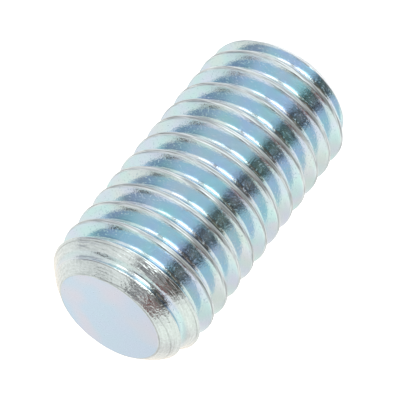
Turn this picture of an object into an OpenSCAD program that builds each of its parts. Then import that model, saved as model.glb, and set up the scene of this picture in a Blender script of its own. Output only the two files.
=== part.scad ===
// Hexagon socket set screw with a flat point.
// The screw stands on its socket end at z = 0, its axis is Z, and the flat point is up.

/* [Thread] */
// Outside diameter of the thread, a little under the nominal 10 mm
thread_d = 9.85; // [9:0.05:12]
// Rise of the thread in one turn
pitch = 1.5; // [1:0.05:1.75]
// Width of the flat along the thread's crest
crest_w = 0.27; // [0.1:0.01:0.4]
// Angle about the axis at which a crest would pass z = 0
thread_start = 222; // [0:1:359]

/* [Body] */
// Length from the socket end to the flat point
screw_len = 19.85; // [14:0.05:40]

/* [Flat point] */
// Diameter of the flat face at the point
point_d = 6.8; // [5.5:0.1:7.4]
// Length of the steep bevel round the flat face
bevel_len = 0.57; // [0.2:0.01:0.9]
// Diameter where the bevel ends and a gentler cone goes on
bevel_d = 8.18; // [7.5:0.02:8.6]
// Length from the flat face to where that cone reaches the thread's outside
cone_len = 1.55; // [1:0.05:3]
// How much lower the first crest's middle lies than the thread's outside
land_drop = 0.14; // [0:0.01:0.3]
// Slope of the first crest toward the point, which isn't rolled full
land_angle = 42; // [10:1:55]
// Depth below the flat face from which the crest rises to its full height
land_depth = 2.2; // [1.5:0.1:3]

/* [Socket end] */
// Width of the 45 degree chamfer round the socket end
end_chamfer = 0.875; // [0.2:0.025:1]

/* [Hexagon socket] */
// Width across the flats of the hexagon
socket_af = 5; // [4:0.1:6]
// Depth of the hexagon's full sides
socket_depth = 6; // [4:0.1:8]
// Diameter of the cone that the drill leaves below the hexagon
drill_d = 4.6; // [3:0.1:4.8]
// Full angle of the drill's cone and of the countersink at the mouth
cone_angle = 120; // [90:1:140]
// How far the countersink reaches past the hexagon's corners
mouth_margin = 0.1; // [0.05:0.05:0.4]

/* [Hidden] */

// Straight facets round one turn
turn_facets = 48;
// Included angle of a metric thread
thread_angle = 60;
// Half widths of the crest's flat and of the rounded root, in pitches
crest_half = crest_w / pitch / 2;
root_half = 1 / 8;
// Width and steepness of a flank, and depth of the root with its rounding, in pitches
flank_reach = 1 / 2 - crest_half - root_half;
flank_slope = 1 / tan(thread_angle / 2);
flank_depth = flank_reach * flank_slope;
root_round = root_half / cos(thread_angle / 2);
root_depth = flank_depth + root_round * (1 - sin(thread_angle / 2));
// Turns from z = 0 up to the crest's middle at angle 0
start_shift = -thread_start / 360;

crest_r = thread_d / 2;
point_r = point_d / 2;
bevel_r = bevel_d / 2;
// How much the radius grows for each millimetre down from the point
bevel_slope = (bevel_r - point_r) / bevel_len;
cone_slope = (crest_r - bevel_r) / (cone_len - bevel_len);
land_slope = tan(land_angle);
bevel_z = screw_len - bevel_len;

// Lines along the thread in one pitch: crest edge, crest, crest edge, foot, root, foot
stations = [
    -crest_half,
    0,
    crest_half,
    crest_half + flank_reach,
    1 / 2,
    1 - crest_half - flank_reach
];
lines = len(stations);
// Whole turns of those lines, with one to spare below the screw and two above it
turns_below = 1 - floor(start_shift);
turns = turns_below + ceil(screw_len / pitch) + 2;
rows = turns * lines;
// A thread line nearer than this to an end face joins the face's rim
rim_gap = 0.02;
// Least distance between a crest's lines
line_gap = 0.03;

// Radius of the unfilled first crest, away mm above that crest's middle at height crest_z
function land_r(away, crest_z) =
    crest_r - land_drop - away * land_slope + max(0, screw_len - crest_z - land_depth);

// Radius of the blank that the thread is cut in, at height z: thread, socket end, point, land
function blank_r(z, crest_z) = min(
    crest_r,
    crest_r - end_chamfer + z,
    point_r + (screw_len - z) * bevel_slope,
    bevel_r + (bevel_z - z) * cone_slope,
    land_r(z - crest_z, crest_z)
);

// Depth of the thread groove, u pitches away from the nearest crest's middle
function groove_depth(u) =
    u < crest_half ? 0 :
    u < crest_half + flank_reach ? (u - crest_half) * flank_slope :
    flank_depth + (root_depth - flank_depth) * (u - crest_half - flank_reach) / root_half;

// Pitches from the nearest crest's middle up to height z, in column c
function from_crest(z, c) =
    let (p = z / pitch - c / turn_facets - start_shift)
    p - round(p);

function surface_r(z, c) =
    let (u = from_crest(z, c))
    min(blank_r(z, z - u * pitch), crest_r - pitch * groove_depth(abs(u)));

// Where a crest edge lies outside the blank, it slides along its flank to the blank's
// surface. Each step halves the stretch of flank that the meeting point is looked for in.
function slide(z, side, crest_z, near, far, steps) =
    let (middle = (near + far) / 2)
    steps == 0 ? near :
    crest_r - middle * flank_slope > blank_r(z + side * middle, crest_z)
        ? slide(z, side, crest_z, middle, far, steps - 1)
        : slide(z, side, crest_z, near, middle, steps - 1);

function edge_z(crest_z, side) =
    let (z = crest_z + side * crest_half * pitch)
    z + side * slide(z, side, crest_z, 0, flank_reach * pitch, 12);

// The middle line of a crest that the bevel's end crosses lies along the bevel's end
function middle_z(low, high) =
    bevel_z > low + line_gap && bevel_z < high - line_gap ? bevel_z : (low + high) / 2;

function line_z(row, c) =
    let (
        station = row % lines,
        turn = floor(row / lines) - turns_below,
        crest_z = pitch * (turn + start_shift + c / turn_facets)
    )
    station == 0 ? edge_z(crest_z, -1) :
    station == 1 ? middle_z(edge_z(crest_z, -1), edge_z(crest_z, 1)) :
    station == 2 ? edge_z(crest_z, 1) :
    crest_z + pitch * stations[station];

function place(z, c) =
    let (r = surface_r(z, c), a = 360 * c / turn_facets)
    [r * cos(a), r * sin(a), z];

// Number of a point: the two face centres, the two rims, then the thread lines row by row
function rim_id(face, c) = 2 + face * turn_facets + c % turn_facets;
function line_id(row, c) =
    c == turn_facets ? line_id(row + lines, 0) :
    line_z(row, c) < rim_gap ? rim_id(0, c) :
    line_z(row, c) > screw_len - rim_gap ? rim_id(1, c) :
    2 + (2 + row) * turn_facets + c;

// Thread, chamfer and point as one closed skin of thin triangles that follow the helix.
// Column 0 of a row meets the last column of the row one turn lower.
module threaded_blank() {
    points = concat(
        [[0, 0, 0], [0, 0, screw_len]],
        [for (z = [0, screw_len], c = [0:turn_facets - 1]) place(z, c)],
        [for (row = [0:rows - 1], c = [0:turn_facets - 1]) place(line_z(row, c), c)]
    );
    last_row = rows - lines - 2;
    skin = [
        for (row = [0:last_row], c = [0:turn_facets - 1])
            let (
                a = line_id(row, c),
                b = line_id(row, c + 1),
                d = line_id(row + 1, c + 1),
                e = line_id(row + 1, c)
            )
            each [[a, d, b], [a, e, d]]
    ];
    solid_skin = [
        for (t = skin)
            if (t[0] != t[1] && t[1] != t[2] && t[2] != t[0]) t
    ];
    faces = concat(
        solid_skin,
        [for (c = [0:turn_facets - 1]) [0, rim_id(0, c), rim_id(0, c + 1)]],
        [for (c = [0:turn_facets - 1]) [1, rim_id(1, c + 1), rim_id(1, c)]]
    );
    polyhedron(points = points, faces = faces);
}

// A true hexagon with a drilled cone below it and a countersink at its mouth
module socket_cut() {
    corner_d = socket_af / cos(30);
    mouth_r = corner_d / 2 + mouth_margin;
    half_angle = cone_angle / 2;
    over = 1;
    translate([0, 0, -over])
        cylinder(h = socket_depth + over, d = corner_d, $fn = 6);
    translate([0, 0, socket_depth])
        cylinder(h = drill_d / 2 / tan(half_angle), r1 = drill_d / 2, r2 = 0, $fn = 48);
    translate([0, 0, -over])
        cylinder(
            h = over + mouth_r / tan(half_angle),
            r1 = mouth_r + over * tan(half_angle),
            r2 = 0,
            $fn = 48
        );
}

module set_screw() {
    color([0.72, 0.79, 0.87])
        difference() {
            threaded_blank();
            socket_cut();
        }
}

set_screw();
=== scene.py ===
import math

import bpy
import numpy as np
from mathutils import Matrix, Vector


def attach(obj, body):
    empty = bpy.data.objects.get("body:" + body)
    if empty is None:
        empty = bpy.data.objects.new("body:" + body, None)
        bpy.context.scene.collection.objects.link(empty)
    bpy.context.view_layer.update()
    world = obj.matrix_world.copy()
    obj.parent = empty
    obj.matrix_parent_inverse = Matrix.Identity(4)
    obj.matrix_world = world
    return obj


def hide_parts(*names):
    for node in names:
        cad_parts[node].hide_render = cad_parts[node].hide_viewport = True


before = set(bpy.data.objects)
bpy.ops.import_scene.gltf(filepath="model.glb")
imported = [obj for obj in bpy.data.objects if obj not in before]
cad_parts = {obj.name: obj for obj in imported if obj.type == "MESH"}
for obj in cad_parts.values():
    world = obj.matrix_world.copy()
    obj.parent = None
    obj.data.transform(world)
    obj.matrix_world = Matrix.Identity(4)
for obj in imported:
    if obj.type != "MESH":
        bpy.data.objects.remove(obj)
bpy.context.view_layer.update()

# The screw: one piece of steel, with the thread rolled on and the whole zinc plated. It
# stands on its socket end, and its flat point is up. This finer skin has the sizes of the
# solid that it stands for, in millimetres, and its edges are rounded as rolling leaves them.

MM = 0.001
THREAD_R = 4.925
PITCH = 1.5
CREST_W = 0.27
THREAD_START = math.radians(222)
SCREW_LEN = 19.85
POINT_R = 3.4
BEVEL_R = 4.09
BEVEL_LEN = 0.57
CONE_LEN = 1.55
LAND_DROP = 0.14
LAND_SLOPE = 0.9
LAND_DEPTH = 2.2
END_CHAMFER = 0.875
SOCKET_AF = 5.0
SOCKET_DEPTH = 6.0
DRILL_R = 2.3
MOUTH_MARGIN = 0.1
CONE_HALF_ANGLE = math.radians(60)

FLANK_SLOPE = 1 / math.tan(math.radians(30))
ROOT_HALF = PITCH / 8
ROOT_ROUND = ROOT_HALF / math.cos(math.radians(30))
FLANK_DEPTH = ((PITCH - CREST_W) / 2 - ROOT_HALF) * FLANK_SLOPE
EDGE_ROUND = 0.07
RIM_ROUND = 0.05
RIM_GAP = 0.01

# Marks of the making: a fold along the middle of the crests, and the part of the point that the
# tool scored. The crease along the crests' middle is darkened with painted shade, and a fainter
# dark line on the crests' flank toward the socket is a painted reflection.
FOLD_DEPTH = 0.022
FOLD_HALF = 0.03
FOLD_MIDDLE = 0.02
# Half width and place of a painted reflection: a dark line on the crests' flank toward the
# socket.
PAINTED_REFLECTION_HALF = 0.025
PAINTED_REFLECTION_MIDDLE = -0.15
SCORED_LEN = 1.15
SCORED_FADE = 0.15
CREST_FADE = 0.06
FULL_CREST = 0.01

COLUMNS = 156


def soft_max(a, b, blend):
    """The larger of a and b, with the corner where they cross rounded over about blend."""
    return (a + b + np.sqrt((a - b) ** 2 + blend**2)) / 2


def soft_min(a, b, blend):
    """The smaller of a and b, with its corner rounded in the same way."""
    return -soft_max(-a, -b, blend)


def turns_up(z, angle):
    """Turns of the thread up to a place: height over pitch, less the angle from the thread's
    start. It is a whole number along the middle of the crests."""
    return z / PITCH - (angle - THREAD_START) / (2 * math.pi)


def to_crest(z, angle):
    """Distance along the axis from the middle of the nearest crest, up or down."""
    turns = turns_up(z, angle)
    return PITCH * (turns - np.round(turns))


def groove_depth(away):
    """Depth below the crest at a distance from its middle: a flat, then a flank that falls
    away at 60 degrees, then a round root that is tangent to both flanks."""
    to_root = PITCH / 2 - np.abs(away)
    flank = soft_max(0, (np.abs(away) - CREST_W / 2) * FLANK_SLOPE, EDGE_ROUND)
    arc = np.sqrt(np.maximum(ROOT_ROUND**2 - to_root**2, 0)) - ROOT_ROUND / 2
    return np.where(to_root < ROOT_HALF, FLANK_DEPTH + arc, flank)


def blank_radius(z):
    """Radius of the blank: a bevel and a cone at the point, a 45 degree chamfer at the
    socket end, and a small quarter round where the bevel meets the flat face."""
    down = SCREW_LEN - z
    bevel = POINT_R + down * (BEVEL_R - POINT_R) / BEVEL_LEN
    cone = BEVEL_R + (down - BEVEL_LEN) * (THREAD_R - BEVEL_R) / (CONE_LEN - BEVEL_LEN)
    radius = soft_min(np.minimum(bevel, cone), THREAD_R - END_CHAMFER + z, EDGE_ROUND)
    into_rim = np.clip(1 - down / RIM_ROUND, 0, 1)
    return radius - RIM_ROUND * (1 - np.sqrt(1 - into_rim**2))


def land_radius(z, away):
    """The first crest isn't filled: it is a land that slopes toward the point, as far as
    LAND_DEPTH below the flat face, and then it rises out of the way."""
    below = SCREW_LEN - (z - away)
    return THREAD_R - LAND_DROP - away * LAND_SLOPE + np.maximum(below - LAND_DEPTH, 0)


def wander(z, angle, seed):
    """A slow wave between 0 and 1 for marks that come and go: the mean of three sines of the
    angle counted along the thread."""
    along = angle + 2 * math.pi * np.round(turns_up(z, angle))
    total = np.sin(1.31 * along + seed) + np.sin(3.17 * along + 2.3 * seed)
    return (total + np.sin(7.43 * along - seed)) / 6 + 0.5


def thread_surface(z, angle):
    """Radius of the outside: the smallest of the blank, the first land and the thread, less the
    folded dent along the crests' middle. With it come three marks from 0 to 1 for the plating:
    crest says how near the top of a crest a place is, turned what the tool cut, and
    painted_dark_lines where lines of painted shade and painted reflection go: in the crease along
    the crests' middle and on the flank just below the crest."""
    away = to_crest(z, angle)
    blank = soft_min(blank_radius(z), land_radius(z, away), RIM_ROUND)
    radius = soft_min(blank, THREAD_R - groove_depth(away), EDGE_ROUND)
    top = np.minimum(blank, THREAD_R)
    scored = np.clip((SCORED_LEN - (SCREW_LEN - z)) / SCORED_FADE, 0, 1)
    crest = np.maximum(np.clip(1.25 - (top - radius) / CREST_FADE, 0, 1), 0.6 * scored)
    cut = np.clip((THREAD_R - top) / CREST_FADE - 0.4, 0, 1) * (z > SCREW_LEN / 2)
    # A dent along the crests' middle; the same mask darkens its crease with painted shade.
    fold_and_painted_shade = np.clip(1 - np.abs(away - FOLD_MIDDLE) / FOLD_HALF, 0, 1) * wander(z, angle, 1.0)
    # Painted reflection: a dark line on the flank just below the crest.
    painted_reflection_line = np.exp(-((away - PAINTED_REFLECTION_MIDDLE) / PAINTED_REFLECTION_HALF) ** 2) * (blank > THREAD_R)
    painted_dark_lines = np.maximum(fold_and_painted_shade, painted_reflection_line * wander(z, angle, 4.0))
    radius = radius - FOLD_DEPTH * fold_and_painted_shade * (top > THREAD_R - FULL_CREST)
    return radius, {"crest": crest, "turned": np.maximum(cut, scored), "painted_dark_lines": painted_dark_lines}


def socket_rings(angle):
    """Radius and height of each ring of the socket, from the drill's tip out to the mouth: a
    120 degree cone, the hexagon's flats, and the countersink's edge."""
    hexagon = SOCKET_AF / 2 / np.cos(angle % (math.pi / 3) - math.pi / 6)
    mouth = SOCKET_AF / 2 / math.cos(math.pi / 6) + MOUTH_MARGIN
    countersink = (mouth - hexagon) / math.tan(CONE_HALF_ANGLE)
    part = np.linspace(0.02, 1, 9)[:, None]
    drill = SOCKET_DEPTH + DRILL_R * (1 - part) / math.tan(CONE_HALF_ANGLE)
    wall = SOCKET_DEPTH + (countersink - SOCKET_DEPTH) * np.linspace(0, 1, 13)[:, None]
    radius = [DRILL_R * part + 0 * angle, hexagon + 0 * wall, mouth + 0 * angle[None]]
    height = [drill + 0 * angle, wall, 0 * angle[None]]
    return np.concatenate(radius), np.concatenate(height)


def mesh_lines():
    """Where the mesh's lines lie in one pitch, as shares of it from a crest's middle: close
    together over the crest and its edges, and evenly over the flanks and the root."""
    crest = [0.012, 0.024, 0.045, 0.065, 0.08, 0.092, 0.105, 0.125, 0.15]
    side = np.append(crest, np.linspace(0.18, 0.33, 6))
    root = np.linspace(0.36, 0.485, 6)
    return np.concatenate([-side[::-1], [0], side, root, 1 - root[::-1]])


def screw_faces(rings, first, below, above, lines):
    """Triangles between the rings, and a fan at each end. The thread's points past an end
    face are drawn together on its rim, so its flattened triangles are left out. A line's last
    column meets the first column of the line one turn on."""
    number = np.arange(rings * COLUMNS).reshape(rings, COLUMNS)
    last = first + len(below) - 1
    thread = np.where(above, number[last], number[first:last + 1])
    thread = np.where(below, number[first], thread)
    number[first:last + 1] = thread
    right = np.roll(number, -1, axis=1)
    right[first:last + 1, -1] = np.append(thread[lines:, 0], np.full(lines, thread[-1, 0]))

    a, b, c, d = number[:-1], right[:-1], right[1:], number[1:]
    faces = np.concatenate([np.stack([a, b, c], -1), np.stack([a, c, d], -1)]).reshape(-1, 3)
    tip, centre = number.size, number.size + 1
    fan_low = np.stack([right[0], number[0], np.full(COLUMNS, tip)], -1)
    fan_high = np.stack([number[-1], right[-1], np.full(COLUMNS, centre)], -1)
    faces = np.concatenate([faces, fan_low, fan_high])
    flattened = (faces == np.roll(faces, 1, axis=1)).any(axis=1)
    return faces[~flattened]


def screw_mesh(name):
    """Rings from the drill's tip out to the socket's mouth, up the thread, and in over the
    flat point. A thread line's height is its place in the pitch plus the helix's rise, so the
    crests run true along the mesh. There are turns to spare past both ends."""
    lines = mesh_lines()
    angle = np.arange(COLUMNS) * 2 * math.pi / COLUMNS
    turn = np.arange(-1, math.ceil(SCREW_LEN / PITCH) + 3)
    place = (turn[:, None] + lines).ravel()[:, None]
    z = PITCH * (place + (angle - THREAD_START) / (2 * math.pi))
    below, above = z < RIM_GAP, z > SCREW_LEN - RIM_GAP
    z = np.where(below, 0, np.where(above, SCREW_LEN, z))
    radius, marks = thread_surface(z, angle)

    inner_r, inner_z = socket_rings(angle)
    face_part = np.array([0.985, 0.96, 0.9, 0.8, 0.65, 0.5, 0.35, 0.2, 0.05])[:, None]
    face_r = radius[-1] * face_part
    all_r = np.concatenate([inner_r, radius, face_r])
    all_z = np.concatenate([inner_z, z, SCREW_LEN + 0 * face_r])
    points = np.stack([all_r * np.cos(angle), all_r * np.sin(angle), all_z], -1).reshape(-1, 3)
    tip_z = SOCKET_DEPTH + DRILL_R / math.tan(CONE_HALF_ANGLE)
    points = np.concatenate([points, [[0, 0, tip_z], [0, 0, SCREW_LEN]]]) * MM

    faces = screw_faces(len(all_r), len(inner_r), below, above, len(lines))
    used = np.unique(faces)
    renumbered = np.zeros(len(points), int)
    renumbered[used] = np.arange(len(used))
    mesh = bpy.data.meshes.new(name)
    mesh.from_pydata(points[used], [], renumbered[faces])
    marks["flat"] = 0 * radius
    for title, mark in marks.items():
        on_face = 1 if title == "flat" else 0
        mark = np.concatenate([0 * inner_r, mark, 0 * face_r + on_face])
        mark = np.append(mark, [0, on_face])[used]
        mesh.attributes.new(title, "FLOAT", "POINT").data.foreach_set("value", mark)
    mesh.shade_smooth()
    mesh.set_sharp_from_angle(angle=math.radians(38))
    return mesh


screw = bpy.data.objects.new("screw_skin", screw_mesh("screw_skin"))
bpy.context.collection.objects.link(screw)
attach(screw, "root")
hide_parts("set_screw")

# The zinc is passivated blue. It is bright in the rolled grooves, where it shimmers from
# green to violet, and on the flat face. It is grey, lined and duller on the crests and on
# the turned point. Dark lines on these are painted: painted shade in the crests' crease, and
# painted reflection below the crests, round the rim of the flat face and round the bevel's edge.

GROOVE_GREEN = (0.425, 0.67, 0.77, 1)
GROOVE_VIOLET = (0.482, 0.622, 0.825, 1)
GROOVE_CREAM = (0.54, 0.65, 0.69, 1)
FACE_BLUE = (0.43, 0.62, 0.85, 1)
FACE_PINK = (0.52, 0.6, 0.79, 1)
CREST_GREY = (0.27, 0.355, 0.43, 1)
CREST_BRIGHT = (0.61, 0.76, 0.87, 1)
POINT_GREY = (0.44, 0.56, 0.64, 1)
POINT_BRIGHT = (0.54, 0.68, 0.78, 1)
# The dark colour of the painted shade and painted reflection lines.
PAINTED_LINE_DARK = (0.09, 0.11, 0.13, 1)
GROOVE_ROUGH = 0.09
SPECK_ROUGH = 0.12
FACE_ROUGH = 0.2
CREST_ROUGH = 0.36
POINT_ROUGH = 0.15
BUMP_HEIGHT = 0.006
BEVEL_TO_CONE = 1.0
BEVEL_BLEND = 0.3


def feed(tree, socket, value):
    """Sets a socket to a plain value, or links another node's output to it."""
    if isinstance(value, (int, float, tuple)):
        socket.default_value = value
    else:
        tree.links.new(value, socket)


def math_node(tree, kind, *values):
    node = tree.nodes.new("ShaderNodeMath")
    node.operation = kind
    for socket, value in zip(node.inputs, values):
        feed(tree, socket, value)
    return node.outputs[0]


def mix(tree, factor, first, second):
    """First where factor is 0 and second where it is 1, both numbers or both colours."""
    node = tree.nodes.new("ShaderNodeMix")
    number = isinstance(first, float) or getattr(first, "type", "RGBA") == "VALUE"
    node.data_type = "FLOAT" if number else "RGBA"
    place = 2 if number else 6
    feed(tree, node.inputs[0], factor)
    feed(tree, node.inputs[place], first)
    feed(tree, node.inputs[place + 1], second)
    return node.outputs[place // 3]


def zinc_plating():
    """A bluish metal. Its colour, roughness and bump go from the groove's to the worn one's
    by the mark crest, and the worn one's from the rolled crest's to the turned point's. Over the
    worn colour go dark lines of painted shade and painted reflection."""
    made = bpy.data.materials.new("zinc_plating")
    made.use_nodes = True
    tree = made.node_tree
    shader = tree.nodes["Principled BSDF"]
    shader.inputs["Metallic"].default_value = 1
    position = tree.nodes.new("ShaderNodeTexCoord").outputs["Object"]
    split = tree.nodes.new("ShaderNodeSeparateXYZ")
    tree.links.new(position, split.inputs[0])
    upright = split.outputs["Z"]

    def noise(across, along, detail, low, high):
        """Noise whose cells are across mm wide round the screw and along mm high, spread so
        that low gives 0 and high gives 1."""
        scale = tree.nodes.new("ShaderNodeVectorMath")
        scale.operation = "MULTIPLY"
        tree.links.new(position, scale.inputs[0])
        scale.inputs[1].default_value = (1 / across / MM, 1 / across / MM, 1 / along / MM)
        node = tree.nodes.new("ShaderNodeTexNoise")
        node.inputs["Scale"].default_value = 1
        node.inputs["Detail"].default_value = detail
        tree.links.new(scale.outputs[0], node.inputs["Vector"])
        spread = tree.nodes.new("ShaderNodeMapRange")
        tree.links.new(node.outputs[0], spread.inputs["Value"])
        spread.inputs["From Min"].default_value = low
        spread.inputs["From Max"].default_value = high
        return spread.outputs[0]

    def attribute(title):
        node = tree.nodes.new("ShaderNodeAttribute")
        node.attribute_name = title
        return node.outputs["Fac"]

    def times(value, factor):
        return math_node(tree, "MULTIPLY", value, factor)

    def times_add(value, factor, more):
        return math_node(tree, "MULTIPLY_ADD", value, factor, more)

    def ring(height, half, mask):
        """A line round the screw at a height, half mm to each side, where mask lets it show."""
        away = math_node(tree, "SUBTRACT", math_node(tree, "DIVIDE", upright, MM), height)
        share = math_node(tree, "DIVIDE", math_node(tree, "ABSOLUTE", away), half)
        line = math_node(tree, "SUBTRACT", 1.5, share)
        line.node.use_clamp = True
        return times(line, mask)

    crest, turned = attribute("crest"), attribute("turned")
    flat, painted_dark_lines = attribute("flat"), attribute("painted_dark_lines")
    lines = noise(1.5, 0.06, 2, 0.4, 0.6)
    strokes = noise(2.0, 0.13, 2, 0.38, 0.62)
    grain = noise(0.2, 0.12, 2, 0.38, 0.62)
    pits = noise(0.1, 0.09, 1, 0.3, 0.7)
    ripples = noise(0.07, 0.09, 1, 0.3, 0.7)
    specks = noise(0.13, 0.1, 2, 0.62, 0.72)
    shimmer = noise(1.7, 0.9, 1, 0.35, 0.65)
    clouds = noise(2.6, 1.3, 1, 0.5, 0.7)
    patchy = times(noise(2.5, 2.5, 1, 0.42, 0.6), 0.6)

    groove_colour = mix(tree, shimmer, GROOVE_GREEN, GROOVE_VIOLET)
    groove_colour = mix(tree, times(clouds, 0.5), groove_colour, GROOVE_CREAM)
    face_colour = mix(tree, clouds, FACE_BLUE, FACE_PINK)
    smooth_colour = mix(tree, times(flat, 0.8), groove_colour, face_colour)
    crest_colour = mix(tree, lines, CREST_GREY, CREST_BRIGHT)
    point_colour = mix(tree, times_add(grain, 0.5, times(lines, 0.5)), POINT_GREY, POINT_BRIGHT)
    worn_and_painted_colour = mix(tree, turned, crest_colour, point_colour)
    # Painted reflection: dark lines round the rim of the flat face and round the bevel's edge, in
    # patches.
    painted_dark_lines = math_node(tree, "MAXIMUM", painted_dark_lines, ring(SCREW_LEN - 0.02, 0.014, patchy))
    painted_dark_lines = math_node(tree, "MAXIMUM", painted_dark_lines, ring(SCREW_LEN - BEVEL_LEN, 0.02, patchy))
    worn_and_painted_colour = mix(tree, times(painted_dark_lines, 0.75), worn_and_painted_colour, PAINTED_LINE_DARK)
    feed(tree, shader.inputs["Base Color"], mix(tree, crest, smooth_colour, worn_and_painted_colour))

    smooth_rough = times_add(specks, SPECK_ROUGH, mix(tree, flat, GROOVE_ROUGH, FACE_ROUGH))
    worn_rough = mix(tree, turned, CREST_ROUGH, POINT_ROUGH)
    feed(tree, shader.inputs["Roughness"], mix(tree, crest, smooth_rough, worn_rough))

    groove_height = times_add(ripples, 0.5, times(specks, 1.6))
    smooth_height = times(groove_height, mix(tree, flat, 1.0, 0.05))
    crest_height = times_add(lines, 1.6, times(pits, 0.6))
    land_height = times_add(strokes, 2.4, times(grain, 0.7))
    bevel_height = times(times_add(lines, 0.5, grain), 1.3)
    above_cone = math_node(tree, "SUBTRACT", upright, (SCREW_LEN - BEVEL_TO_CONE) * MM)
    on_bevel = math_node(tree, "DIVIDE", above_cone, BEVEL_BLEND * MM)
    on_bevel.node.use_clamp = True
    point_height = mix(tree, on_bevel, land_height, bevel_height)
    worn_height = mix(tree, turned, crest_height, point_height)
    bump = tree.nodes.new("ShaderNodeBump")
    bump.inputs["Strength"].default_value = 1
    bump.inputs["Distance"].default_value = BUMP_HEIGHT * MM
    tree.links.new(mix(tree, crest, smooth_height, worn_height), bump.inputs["Height"])
    tree.links.new(bump.outputs[0], shader.inputs["Normal"])
    return made


screw.data.materials.append(zinc_plating())

# The floor: plain and pale, under the screw's socket end. It keeps the screw's soft shadow,
# and the plating reflects the pale room instead of it.

FLOOR_SIZE = 3.0
FLOOR_COLOUR = (0.9, 0.9, 0.9, 1)
FLOOR_LIFT = 0.6

corner = FLOOR_SIZE / 2
corners = [(-corner, -corner, 0), (corner, -corner, 0), (corner, corner, 0), (-corner, corner, 0)]
floor_mesh = bpy.data.meshes.new("floor")
floor_mesh.from_pydata(corners, [], [(0, 1, 2, 3)])
floor = bpy.data.objects.new("floor", floor_mesh)
bpy.context.collection.objects.link(floor)
floor.visible_glossy = False

paint = bpy.data.materials.new("floor_paint")
paint.use_nodes = True
paint_tree = paint.node_tree
paint_shader = paint_tree.nodes["Principled BSDF"]
paint_shader.inputs["Base Color"].default_value = FLOOR_COLOUR
paint_shader.inputs["Roughness"].default_value = 1
paint_shader.inputs["Specular IOR Level"].default_value = 0
paint_shader.inputs["Emission Color"].default_value = (1, 1, 1, 1)
seen = paint_tree.nodes.new("ShaderNodeLightPath").outputs["Is Camera Ray"]
lift = math_node(paint_tree, "MULTIPLY", seen, FLOOR_LIFT)
paint_tree.links.new(lift, paint_shader.inputs["Emission Strength"])
floor_mesh.materials.append(paint)

# The room: a white tent that lights the screw from all round, with what the plating reflects
# of it. Each patch has a range of angles sideways and upwards, the width of its soft edge in
# degrees, and its light. Angles are about the screw, from the camera's side and the level.

TENT_LIGHT = (1.36, 1.17, 1.0)
ALL_ROUND = (-220, 220)
WALLS = [
    ((-130, -84), (8, 46), 14, (1.5, 1.32, 1.08)),
    ((-200, -136), (5, 60), 16, (1.2, 1.0, 0.86)),
    ((60, 120), (24, 66), 16, (1.16, 1.0, 0.86)),
    (ALL_ROUND, (-72, -48), 14, (2.1, 1.9, 1.75)),
    (ALL_ROUND, (-120, -74), 8, (0.7, 0.62, 0.58)),
    ((62, 112), (-60, -4), 10, (1.2, 1.02, 0.9)),
    ((64, 110), (-12, 28), 12, (0.7, 0.6, 0.57)),
    ((84, 126), (57, 77), 8, (0.98, 0.84, 0.74)),
]
DARK_SPOT = [((99, 115), (56, 70), 3, (0.0, 0.0, 0.0))]
GAP_LOW = [
    ((-66, -26), (-72, -16), 6, (0.10, 0.07, 0.05)),
    ((-52, -40), (-72, -16), 6, (0.72, 0.48, 0.32)),
]
GAP_AND_SHADES = [
    ((-46, 18), (46, 62), 6, (0.40, 0.34, 0.305)),
    ((-84, -46), (38, 52), 6, (0.34, 0.29, 0.25)),
    ((-66, -26), (-16, 48), 6, (0.15, 0.115, 0.09)),
    ((-52, 0), (60, 82), 6, (0.66, 0.54, 0.49)),
    ((-26, 16), (63, 82), 6, (0.26, 0.22, 0.2)),
    ((-92, -50), (53, 72), 4, (0.28, 0.10, 0.08)),
]
BRIGHT_PANELS = [
    ((-20, 5), (-10, 42), 4, (3.5, 3.05, 2.6)),
    ((6, 17), (-8, 46), 4, (0.55, 0.47, 0.42)),
    ((17, 37), (0, 31), 4, (3.3, 2.85, 2.45)),
]


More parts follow.
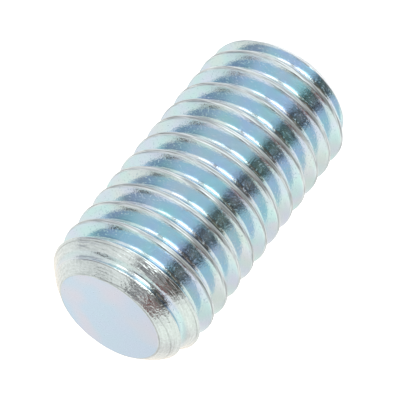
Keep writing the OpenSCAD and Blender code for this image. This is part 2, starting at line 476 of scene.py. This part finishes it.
def tent():
    """The room's light by direction: the tent, with each patch laid over those before it. A
    patch's share is its band in azimuth times its band in elevation."""
    world = bpy.data.worlds.new("tent")
    world.use_nodes = True
    tree = world.node_tree
    tree.nodes.clear()
    place = tree.nodes.new("ShaderNodeTexCoord")
    split = tree.nodes.new("ShaderNodeSeparateXYZ")
    tree.links.new(place.outputs["Generated"], split.inputs[0])
    x, y, z = split.outputs
    azimuth = math_node(tree, "ARCTAN2", x, math_node(tree, "MULTIPLY", y, -1))
    azimuth = math_node(tree, "DEGREES", azimuth)
    elevation = math_node(tree, "DEGREES", math_node(tree, "ARCSINE", z))

    def band(angle, low, high, edge):
        """1 where the angle is between low and high, falling to 0 over edge."""
        ramp = tree.nodes.new("ShaderNodeMapRange")
        ramp.interpolation_type = "SMOOTHSTEP"
        middle, reach = (low + high) / 2, (high - low) / 2
        away = math_node(tree, "ABSOLUTE", math_node(tree, "SUBTRACT", angle, middle))
        tree.links.new(away, ramp.inputs["Value"])
        ramp.inputs["From Min"].default_value = reach - edge / 2
        ramp.inputs["From Max"].default_value = reach + edge / 2
        ramp.inputs["To Min"].default_value = 1
        ramp.inputs["To Max"].default_value = 0
        return ramp.outputs[0]

    light = TENT_LIGHT + (1,)
    patches = WALLS + DARK_SPOT + GAP_LOW + GAP_AND_SHADES + BRIGHT_PANELS
    for sideways, upwards, edge, patch_light in patches:
        across, up = band(azimuth, *sideways, edge), band(elevation, *upwards, edge)
        light = mix(tree, math_node(tree, "MULTIPLY", across, up), light, patch_light + (1,))

    reflected = tree.nodes.new("ShaderNodeLightPath").outputs["Is Glossy Ray"]
    background = tree.nodes.new("ShaderNodeBackground")
    tree.links.new(mix(tree, reflected, (1, 1, 1, 1), light), background.inputs["Color"])
    out = tree.nodes.new("ShaderNodeOutputWorld")
    tree.links.new(background.outputs[0], out.inputs[0])
    return world


bpy.context.scene.world = tent()

# The camera: it looks down on the point from a long way off, and it is rolled about its own
# axis, so that the upright screw lies across the picture as in the photograph.

CAM_DISTANCE = 148.6
CAM_ELEVATION = math.radians(31.36)
CAM_ROLL = math.radians(142.14)
FOCAL_PIXELS = 2496.7
PICTURE_PIXELS = 400
SENSOR_WIDTH = 36
MIDDLE_DOWN = 9.8
MIDDLE_IN_PICTURE = Vector((-0.083, -0.124))

camera_data = bpy.data.cameras.new("camera")
camera_data.sensor_width = SENSOR_WIDTH
camera_data.lens = FOCAL_PIXELS / PICTURE_PIXELS * SENSOR_WIDTH
camera_data.clip_start = 0.01
camera_data.clip_end = 10
camera = bpy.data.objects.new("camera", camera_data)
bpy.context.collection.objects.link(camera)
turn = Matrix.Rotation(math.pi / 2 - CAM_ELEVATION, 4, "X") @ Matrix.Rotation(-CAM_ROLL, 4, "Z")
offset = turn @ Vector((-MIDDLE_IN_PICTURE.x, -MIDDLE_IN_PICTURE.y, CAM_DISTANCE))
stand = (offset + Vector((0, 0, SCREW_LEN - MIDDLE_DOWN))) * MM
camera.matrix_world = Matrix.Translation(stand) @ turn
bpy.context.scene.camera = camera

bpy.context.scene.view_settings.view_transform = "Standard"
